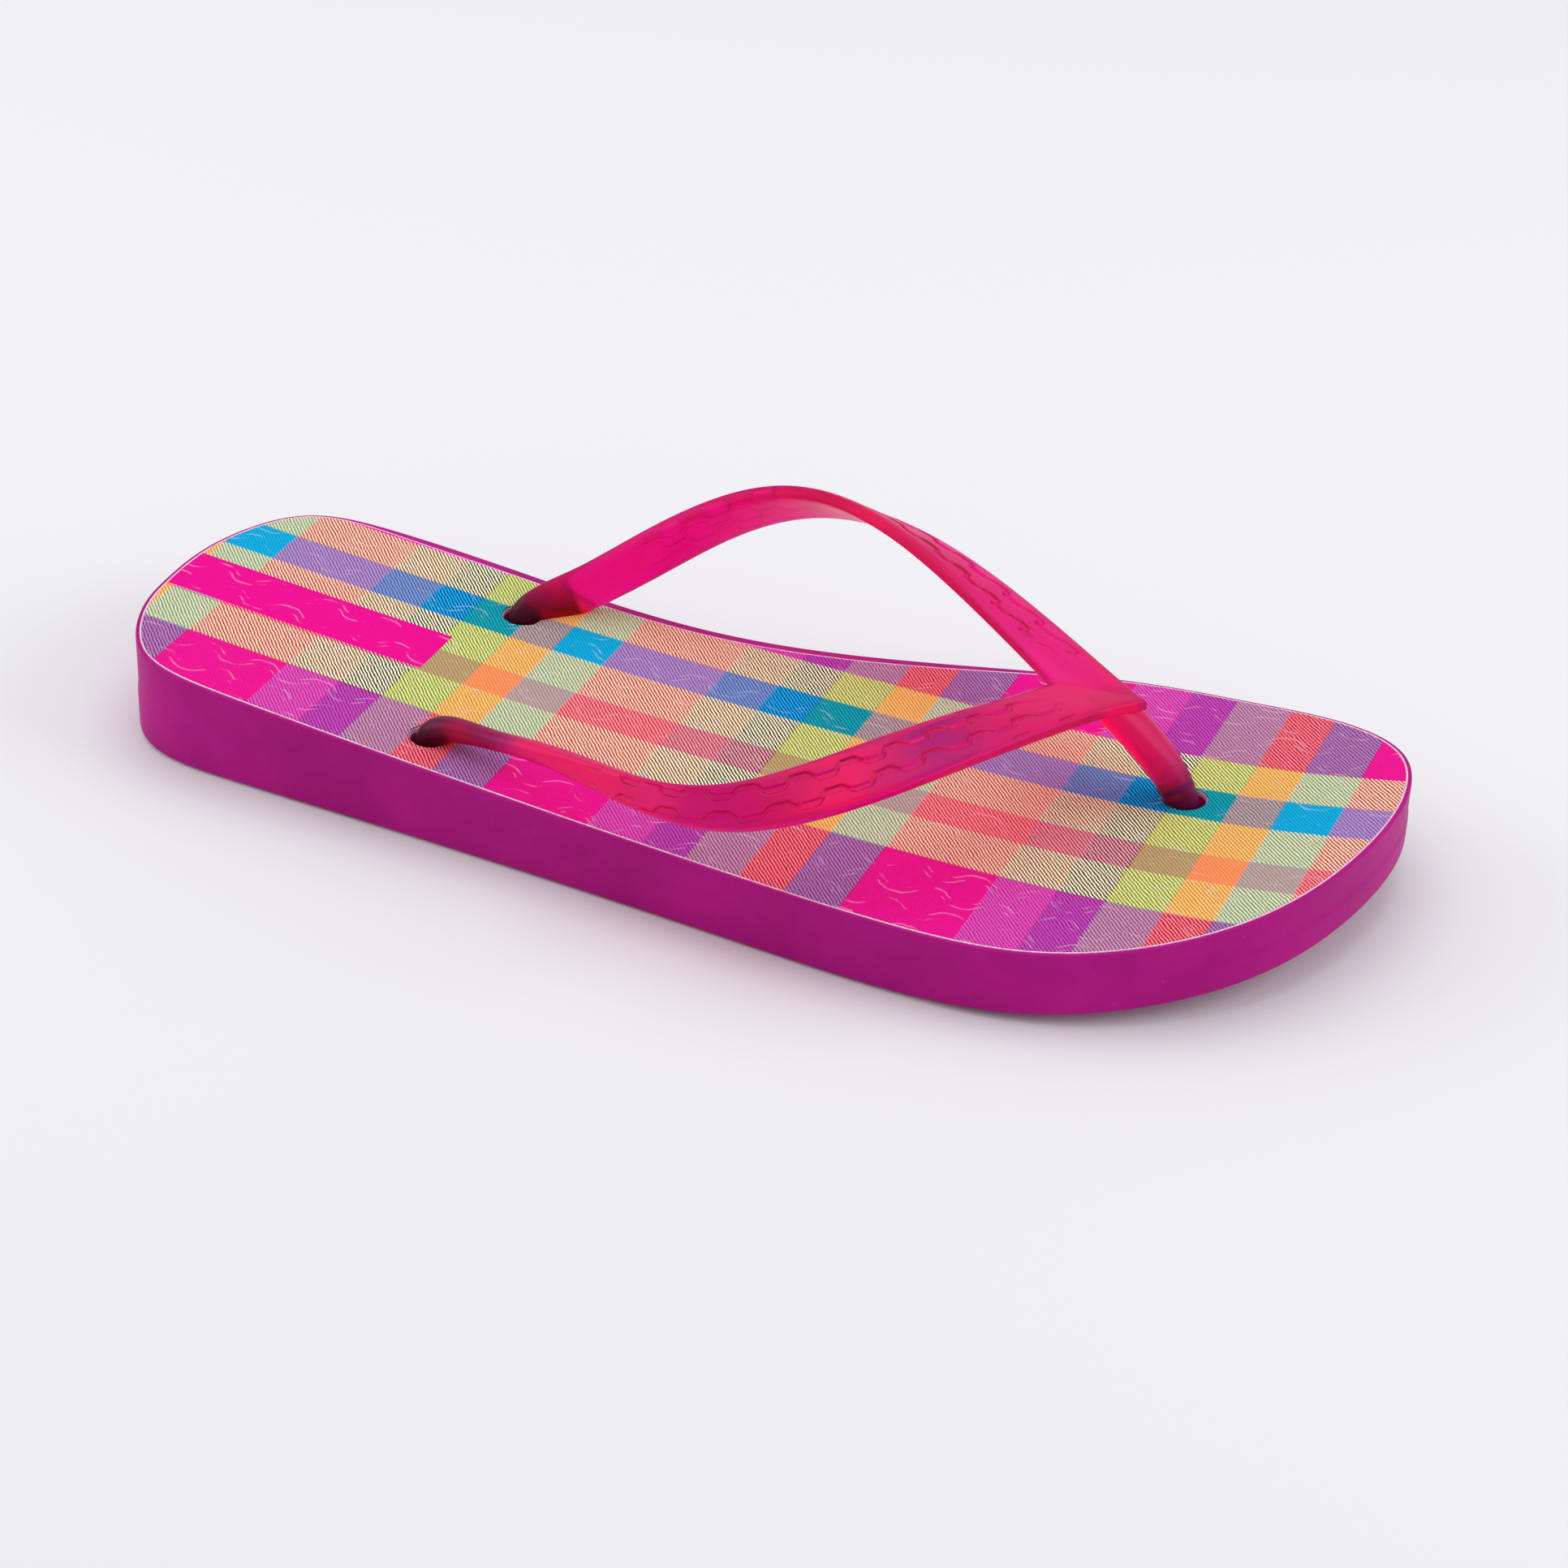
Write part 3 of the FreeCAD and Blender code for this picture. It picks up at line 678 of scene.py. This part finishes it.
def makeFootbed():
    face = makePiece("footbedFace", ringForm(faceRings()), footbedMaterial(), "sole")
    backing = makePiece("footbedBacking", ringForm(backingRings()), backingMaterial(), "sole")
    for piece, extra in ((face, sheet["faceHoleExtra"]), (backing, 0)):
        cutter = bmesh.new()
        for seed, centre in enumerate(holes.values()):
            frayedRod(cutter, centre, sole["holeRadius"] + extra, 2 * mm, 40 * mm, seed)
        cutWith(piece, cutter)
        smoothBelow(piece, sheet["smoothAngle"])
    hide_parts("footbed")
    print("footbed made:", len(face.data.polygons), "faces")


strap = {
    "around": 84,             # points of each ring
    "faceShare": 52,          # those of them that lie on the outer face
    "bandRings": {"lateral": 400, "medial": 380},
    "rootRings": 22,
    "rootShare": 0.10,        # where the root has become the band
    "rootPull": 0.55,
    "rootPaintedShade": 9.0,         # height above the footbed over which the painted shade at the root fades
    "stemRadius": 3.1,
    "stemTop": 3.6,           # below the footbed's upper face
    "discRadius": 8.5,
    "discThickness": 2.4,
    "discGap": 0.05,          # below the roof of the recess
    "apex": (64.0, 7.6, 34.1),
    "mitreStart": 0.72,
    "mitreRings": 24,         # last rings of each band, which close up on the other band
    "poles": {
        "lateral": ((-53.9, -21.2, 16.5), (-16.0, -27.0, 26.5), (1.5, -55.0, 28.5),
                    (17.0, -63.0, 31.0), (33.0, -33.0, 39.5)),
        "medial": ((-54.5, 25.5, 16.5), (-35.4, 37.0, 19.3), (-19.4, 51.6, 39.5),
                   (-2.9, 58.2, 48.3), (22.6, 41.9, 39.5)),
    },
    "widths": {"lateral": (3.6, 2.6, 8.0, 12.6, 13.4), "medial": (8.6, 11.4, 11.2, 11.3, 11.6)},
    "twists": {"lateral": (0.0, 20.0, 40.0, 69.0, 100.0), "medial": (-12.0, 5.0, 39.0, 66.0,
                                                                    90.0)},
    "thickness": (4.2, 3.1, 2.5, 2.6),
    "rootSquareness": 2.2,
    "bandSquareness": 5.6,
    "squareFrom": 0.32,       # share of the length where the section has become flat
    "smoothAngle": 50,
    "reliefFade": {"lateral": (38.0, 50.0, 132.0, 141.0), "medial": (22.0, 32.0, 124.0, 133.0)},
}
# strength and backLineShade set how dark the painted shade lines along the step edges are
relief = {"period": 9.6, "neck": 1.0, "swell": 1.55, "channel": 0.85, "depth": 0.42,
          "slope": 0.14, "rim": 1.0, "rimDepth": 0.36, "line": 0.15, "roundness": 0.75,
          "strength": 0.8, "backLineShade": 0.6}
relief["rowGap"] = 2 * relief["neck"] + relief["swell"] + relief["channel"]
post = {
    "lean": 1.8,              # its upper end, ahead of the apex
    "sink": 0.4,              # and below it
    "straight": 5.0,
    "pull": (5.0, -5.5),
    "rings": 60,
    "start": 2.0,             # above the disc
    "turnUp": 0.6,            # share of the length from which the cuts turn level
    "widths": (6.2, 6.4, 6.6, 6.4),
    "depths": (6.2, 6.8, 9.8, 9.4),
    "shade": 26.0,            # height above the footbed over which the painted shade at the foot fades
}


def bezierAt(values, share):
    # Bezier curve of any degree, through numbers or vectors
    degree = len(values) - 1
    total = values[0] * 0
    for number, value in enumerate(values):
        weight = math.comb(degree, number) * share ** number * (1 - share) ** (degree - number)
        total = total + value * weight
    return total


def chainHeight(along, across):
    # raised hexagon chains with low channels between them
    row = round(across / relief["rowGap"])
    offset = abs(across - row * relief["rowGap"])
    phase = along / relief["period"] + 0.5 * (row % 2)
    swell = smoothStep(-relief["roundness"], relief["roundness"],
                       math.cos(2 * math.pi * phase))
    half = relief["neck"] + relief["swell"] * swell
    return 1 - smoothStep(-relief["slope"], relief["slope"], offset - half)


class BandPath:
    # centre line and section of one band, in metres
    steps = 200
    tangentStep = 0.002

    def __init__(self, side):
        self.side = side
        self.inner = 1 if side == "lateral" else -1
        poles = [Vector(pole) * mm for pole in strap["poles"][side]]
        self.poles = poles + [Vector(strap["apex"]) * mm]
        self.length = 0.0
        self.marks = [0.0]
        before = self.poles[0]
        for step in range(1, self.steps + 1):
            here = bezierAt(self.poles, step / self.steps)
            self.length += (here - before).length
            self.marks.append(self.length)
            before = here

    def lengthAt(self, share):
        place = min(int(share * self.steps), self.steps - 1)
        part = share * self.steps - place
        return self.marks[place] + (self.marks[place + 1] - self.marks[place]) * part

    def sectionAt(self, share):
        centre = bezierAt(self.poles, share)
        before = bezierAt(self.poles, max(share - self.tangentStep, 0))
        after = bezierAt(self.poles, min(share + self.tangentStep, 1))
        along = (after - before).normalized()
        upright = (Vector((0, 0, 1)) - along * along.z).normalized()
        sideways = along.cross(upright)
        if sideways.y * self.inner < 0:
            sideways = -sideways
        twist = math.radians(bezierAt(strap["twists"][self.side], share))
        across = upright * math.cos(twist) + sideways * math.sin(twist)
        outer = upright * math.sin(twist) - sideways * math.cos(twist)
        width = bezierAt(strap["widths"][self.side], share) * mm
        thickness = bezierAt(strap["thickness"], share) * mm
        return centre, along, across, outer, width, thickness, sideways


def sectionSpots():
    # unit section: position across, and 1 on the outer face or -1 on the back
    spots = []
    face = strap["faceShare"]
    back = strap["around"] - face
    for number in range(face):
        spots.append((math.sin(math.pi / 2 * (1 - 2 * (number + 0.5) / face)), 1))
    for number in range(back):
        spots.append((math.sin(math.pi / 2 * (-1 + 2 * (number + 0.5) / back)), -1))
    return spots


unitSpots = sectionSpots()
upWay = Vector((0, 0, 1))


def ringOf(centre, along, across, outer, width, thickness, squareness=2.0, normal=None,
           relieved=None):
    # one section, raised by relieved on its outer face and slid along onto the cut's plane
    points = []
    half = width / 2
    deep = thickness / 2
    for spot, side in unitSpots:
        reach = (1 - abs(spot) ** squareness) ** (1 / squareness)
        out = side * deep * reach
        if side > 0 and relieved:
            out += relieved(spot * half) * mm
        point = centre + across * (spot * half) + outer * out
        if normal is not None:
            point = point - along * ((point - centre).dot(normal) / along.dot(normal))
        points.append(point)
    return points


def bandRings(side):
    path = BandPath(side)
    count = strap["bandRings"][side]
    fades = strap["reliefFade"][side]
    middle = Vector((0, 1, 0)) * path.inner
    rings = []
    marks = []
    for step in range(count + 1):
        share = strap["rootShare"] + (1 - strap["rootShare"]) * step / count
        centre, along, across, outer, width, thickness, sideways = path.sectionAt(share)
        turnIn = smoothStep(strap["mitreStart"], 1.0, share)
        normal = (along * (1 - turnIn) + middle * turnIn).normalized()
        length = path.lengthAt(share) / mm
        fade = smoothStep(*fades[:2], length) * (1 - smoothStep(*fades[2:], length))
        ease = smoothStep(strap["rootShare"], strap["squareFrom"], share)
        squareness = (strap["rootSquareness"] * (1 - ease) + strap["bandSquareness"] * ease)

        def relieved(place, fade=fade, length=length, width=width):
            if fade <= 0:
                return 0.0
            fromEdge = width / 2 / mm - abs(place) / mm
            panel = smoothStep(relief["rim"] * 0.5, relief["rim"], fromEdge)
            lift = relief["depth"] * chainHeight(length, place / mm) - relief["rimDepth"]
            return fade * panel * lift

        rings.append(ringOf(centre, along, across, outer, width, thickness, squareness, normal,
                            relieved))
        half = width / 2 / mm
        # marks for the painted shade lines along the relief's step edges, weaker on the back
        row = []
        for spot, facing in unitSpots:
            near = smoothStep(relief["rim"] * 0.7, relief["rim"] * 1.1, half - abs(spot) * half)
            strength = 1.0 if facing > 0 else relief["backLineShade"]
            row.append((length, spot * half, fade * near * strength))
        marks.append(row)
    return path, rings, marks


def discRings(hole, name, across, outer):
    # disc in its recess and the fillet from the disc into the stem
    radius = strap["stemRadius"]
    disc = strap["discRadius"]
    high = sole["discRoof"][name] - strap["discGap"]
    low = high - strap["discThickness"]
    rings = []
    for height, size in ((low, disc * 0.5), (low, disc * 0.85), (low, disc - 0.7),
                         (low + 0.12, disc - 0.25), (low + 0.5, disc), (high - 0.4, disc),
                         (high - 0.1, disc - 0.12), (high, disc - 0.4), (high, radius + 1.2),
                         (high + 0.15, radius + 0.4), (high + 0.6, radius + 0.05)):
        spot = Vector((hole.x, hole.y, height * mm))
        rings.append(ringOf(spot, upWay, across, outer, 2 * size * mm, 2 * size * mm))
    return rings


def headingOn(curve, part):
    step = 0.01
    ahead = bezierAt(curve, min(part + step, 1)) - bezierAt(curve, max(part - step, 0))
    return ahead.normalized()


def rootRings(path):
    # disc, stem and the turn from the stem into the band
    name = path.side
    hole = holes[name]
    top = topAt(hole.x)
    share = strap["rootShare"]
    centre, along, across, outer, width, thickness, sideways = path.sectionAt(share)
    heading = Vector((along.x, along.y, 0)).normalized()
    flat = heading.cross(upWay)
    if flat.dot(sideways) < 0:
        flat = -flat
    stem = 2 * strap["stemRadius"] * mm
    rings = discRings(hole, name, -heading, -flat)
    foot = Vector((hole.x, hole.y, (sole["discRoof"][name] - strap["discGap"] + 1.5) * mm))
    rings.append(ringOf(foot, upWay, -heading, -flat, stem, stem))
    start = Vector((hole.x, hole.y, top - strap["stemTop"] * mm))
    pull = (centre - start).length * strap["rootPull"]
    curve = [start, start + Vector((0, 0, pull * 0.75)), centre - along * pull, centre]
    count = strap["rootRings"]
    for step in range(count):
        part = step / count
        spot = bezierAt(curve, part)
        ahead = headingOn(curve, part)
        ease = smoothStep(0.0, 1.0, part)
        side = (flat * (1 - ease) + sideways * ease).normalized()
        side = (side - ahead * side.dot(ahead)).normalized()
        upright = side.cross(ahead)
        if upright.dot(across * ease - heading * (1 - ease)) < 0:
            upright = -upright
        twist = math.radians(bezierAt(strap["twists"][name], share)) * ease
        over = upright * math.cos(twist) + side * math.sin(twist)
        outward = upright * math.sin(twist) - side * math.cos(twist)
        wide = stem + (width - stem) * ease
        thick = stem + (thickness - stem) * ease
        squareness = 2.0 + (strap["rootSquareness"] - 2.0) * ease
        rings.append(ringOf(spot, ahead, over, outward, wide, thick, squareness))
    return rings


def tubeThrough(rings, marks):
    # straight tube by spin, each ring then moved to its place; ends are closed
    made = bmesh.new()
    count = len(rings[0])
    bmesh.ops.create_circle(made, segments=count, radius=1)
    bmesh.ops.spin(made, geom=made.edges[:], cent=(0, 0, 0), axis=(0, 0, 1), dvec=(0, 0, 1),
                   angle=0, steps=len(rings) - 1, use_merge=False, use_duplicate=False)
    chart = made.verts.layers.float_vector.new("chart")
    for vert in made.verts:
        turn = round(math.atan2(vert.co.y, vert.co.x) / (2 * math.pi) * count) % count
        place = round(vert.co.z)
        vert[chart] = marks[place][turn]
        vert.co = rings[place][turn]
    bmesh.ops.holes_fill(made, edges=[edge for edge in made.edges if edge.is_boundary], sides=0)
    bmesh.ops.recalc_face_normals(made, faces=made.faces)
    return made


def postRings():
    hole = holes["toe"]
    forward, sideWay = Vector((1, 0, 0)), Vector((0, 1, 0))
    rings = discRings(hole, "toe", forward, sideWay)
    apex = Vector(strap["apex"]) * mm
    foot = sole["discRoof"]["toe"] - strap["discGap"] + post["start"]
    start = Vector((hole.x, hole.y, foot * mm))
    end = Vector((apex.x + post["lean"] * mm, apex.y, apex.z - post["sink"] * mm))
    curve = [start, Vector((hole.x, hole.y, topAt(hole.x) + post["straight"] * mm)),
             end + Vector((post["pull"][0], 0, post["pull"][1])) * mm, end]
    count = post["rings"]
    for step in range(count + 1):
        part = step / count
        spot = bezierAt(curve, part)
        ahead = headingOn(curve, part)
        over = sideWay.cross(ahead).normalized()
        wide = bezierAt(post["widths"], part) * mm
        thick = bezierAt(post["depths"], part) * mm
        turnUp = smoothStep(post["turnUp"], 1.0, part)
        normal = (ahead * (1 - turnUp) + upWay * turnUp).normalized()
        rings.append(ringOf(spot, ahead, over, sideWay, wide, thick, normal=normal))
    return rings


def strapMaterial():
    # clear moulding: its depth of colour comes from the absorption inside it
    material, tree, shader, out = newMaterial("clearStrap")
    place = addNode(tree, "ShaderNodeTexCoord").outputs["Object"]
    haze = addNode(tree, "ShaderNodeTexNoise", {"Vector": place, "Scale": 900.0, "Detail": 3.0,
                                                "Roughness": 0.6})
    cloud = addNode(tree, "ShaderNodeTexNoise", {"Vector": place, "Scale": 60.0, "Detail": 2.0})
    tint = rampOf(tree, cloud.outputs["Fac"], [(0.35, (1.0, 0.012, 0.46, 1)),
                                               (0.7, (1.0, 0.02, 0.53, 1))])
    # the chart attribute holds the way along and across the band, and how far the painted shade
    # lines of the relief show, or, below zero, how deep the painted shade near the holes is
    chart = addNode(tree, "ShaderNodeAttribute", attribute_name="chart")
    parts = addNode(tree, "ShaderNodeSeparateXYZ", {"Vector": chart.outputs["Vector"]})
    # painted shade: dark lines drawn along the edges of the relief's steps
    line = chainLines(tree, parts.outputs["X"], parts.outputs["Y"], relief, 1.7)
    # painted shade near the holes, from the chart's negative values
    shade = calc(tree, "MAXIMUM", calc(tree, "MULTIPLY", parts.outputs["Z"], -1.0), 0.0)
    shown = calc(tree, "MAXIMUM", parts.outputs["Z"], 0.0)
    shown = calc(tree, "MULTIPLY", calc(tree, "MULTIPLY", line, shown), relief["strength"])
    tint = mixOf(tree, shown, tint, (0.5, 0.0, 0.08, 1))
    # painted shade: the moulding turns dark maroon towards its holes
    tint = mixOf(tree, calc(tree, "MULTIPLY", shade, 0.95), tint, (0.22, 0.0, 0.015, 1))
    tree.links.new(tint, shader.inputs["Base Color"])
    shader.inputs["Transmission Weight"].default_value = 0.84
    shader.inputs["IOR"].default_value = 1.25
    shader.inputs["Specular IOR Level"].default_value = 0.12
    rough = addNode(tree, "ShaderNodeMapRange", {"Value": cloud.outputs["Fac"],
                                                 "From Min": 0.3, "From Max": 0.7,
                                                 "To Min": 0.28, "To Max": 0.36})
    tree.links.new(rough.outputs["Result"], shader.inputs["Roughness"])
    bump = addNode(tree, "ShaderNodeBump", {"Height": haze.outputs["Fac"], "Strength": 0.08,
                                            "Distance": 0.0002})
    tree.links.new(bump.outputs["Normal"], shader.inputs["Normal"])
    volume = addNode(tree, "ShaderNodeVolumeAbsorption",
                     {"Color": (0.995, 0.0, 0.81, 1), "Density": 1200.0})
    tree.links.new(volume.outputs["Volume"], out.inputs["Volume"])
    return material


def paintedShadeMarks(rings, spot, reach):
    # negative values paint shade that darkens the moulding near its holes
    top = topAt(spot.x)
    return [[(0.0, 0.0, smoothStep(top, top + reach * mm, point.z) - 1) for point in ring]
            for ring in rings]


def closeMitre(rings, shared):
    # the last rings of a band bend onto the section that both bands share
    gaps = [end - own for end, own in zip(shared, rings[-1])]
    for back in range(strap["mitreRings"]):
        pull = (1 - back / strap["mitreRings"]) ** 2
        ring = rings[-1 - back]
        rings[-1 - back] = [point + gap * pull for point, gap in zip(ring, gaps)]


def makeStrap():
    outerPath, outerRings, outerMarks = bandRings("lateral")
    innerPath, innerRings, innerMarks = bandRings("medial")
    shared = [(a + b) / 2 for a, b in zip(outerRings[-1], innerRings[-1])]
    closeMitre(outerRings, shared)
    closeMitre(innerRings, shared)
    outerRoot, innerRoot = rootRings(outerPath), rootRings(innerPath)[::-1]
    rings = outerRoot + outerRings + innerRings[-2::-1] + innerRoot
    marks = (paintedShadeMarks(outerRoot, holes["lateral"], strap["rootPaintedShade"]) + outerMarks
             + innerMarks[-2::-1] + paintedShadeMarks(innerRoot, holes["medial"], strap["rootPaintedShade"]))
    piece = makePiece("strapOnePiece", tubeThrough(rings, marks), strapMaterial(), "strap")
    stem = postRings()
    cutWith(piece, tubeThrough(stem, paintedShadeMarks(stem, holes["toe"], post["shade"])), "UNION")
    smoothBelow(piece, strap["smoothAngle"])
    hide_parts("strap_band_lateral", "strap_band_medial", "toe_post", "toe_plug",
                "lateral_plug", "medial_plug")
    print("strap made:", len(piece.data.polygons), "faces")


studio = {
    "floorSize": 8.0,         # metres, like all values of the studio
    "floorGap": 0.0001,
    "floorColour": (0.86, 0.86, 0.885, 1),
    "floorRoughness": 0.6,
    "floorShine": 0.15,
    "worldColour": (0.97, 0.975, 1.0, 1),
    "world": 0.62,
    "lamps": {                # place, width of the disk, power
        "overhead": ((-0.1, 0.25, 1.1), 1.1, 3.6),
        "leftSide": ((-1.0, -0.1, 0.5), 0.8, 2.8),
        "rightSide": ((1.0, 0.2, 0.5), 0.8, 3.8),
    },
    "cameraPlace": (0.183529, -0.580221, 0.400698),
    "cameraRight": (0.95003504, 0.31035381, 0.03337581),
    "cameraUp": (-0.19588049, 0.50951097, 0.83787195),
    "cameraBack": (0.24303141, -0.80254538, 0.54484553),
    "lens": 89.615,           # mm, on a 36 mm sensor
}


def makeFloor():
    mesh = bmesh.new()
    bmesh.ops.create_grid(mesh, x_segments=1, y_segments=1, size=studio["floorSize"] / 2)
    bmesh.ops.translate(mesh, vec=(0, 0, -studio["floorGap"]), verts=mesh.verts)
    data = bpy.data.meshes.new("floor")
    mesh.to_mesh(data)
    mesh.free()
    floor = bpy.data.objects.new("floor", data)
    scene.collection.objects.link(floor)
    material, tree, shader, out = newMaterial("studioFloor")
    shader.inputs["Base Color"].default_value = studio["floorColour"]
    shader.inputs["Roughness"].default_value = studio["floorRoughness"]
    shader.inputs["Specular IOR Level"].default_value = studio["floorShine"]
    data.materials.append(material)


def makeLights():
    world = bpy.data.worlds.new("studio")
    scene.world = world
    world.use_nodes = True
    back = world.node_tree.nodes["Background"]
    back.inputs["Color"].default_value = studio["worldColour"]
    back.inputs["Strength"].default_value = studio["world"]
    for name, (place, size, power) in studio["lamps"].items():
        lamp = bpy.data.lights.new(name, "AREA")
        lamp.shape = "DISK"
        lamp.size = size
        lamp.energy = power
        holder = bpy.data.objects.new(name, lamp)
        scene.collection.objects.link(holder)
        holder.location = place
        holder.rotation_mode = "QUATERNION"
        holder.rotation_quaternion = (-Vector(place)).to_track_quat("-Z", "Y")


def makeCamera():
    camera = bpy.data.cameras.new("camera")
    camera.lens = studio["lens"]
    camera.sensor_width = 36
    camera.clip_start = 0.01
    camera.clip_end = 20
    holder = bpy.data.objects.new("camera", camera)
    scene.collection.objects.link(holder)
    axes = (studio["cameraRight"], studio["cameraUp"], studio["cameraBack"])
    turn = Matrix(axes).transposed()
    holder.matrix_world = Matrix.Translation(studio["cameraPlace"]) @ turn.to_4x4()
    scene.camera = holder


makeFloor()
makeLights()
makeCamera()
scene.view_settings.view_transform = "Standard"
print("studio made")
makeSole()
makeFootbed()
makeStrap()
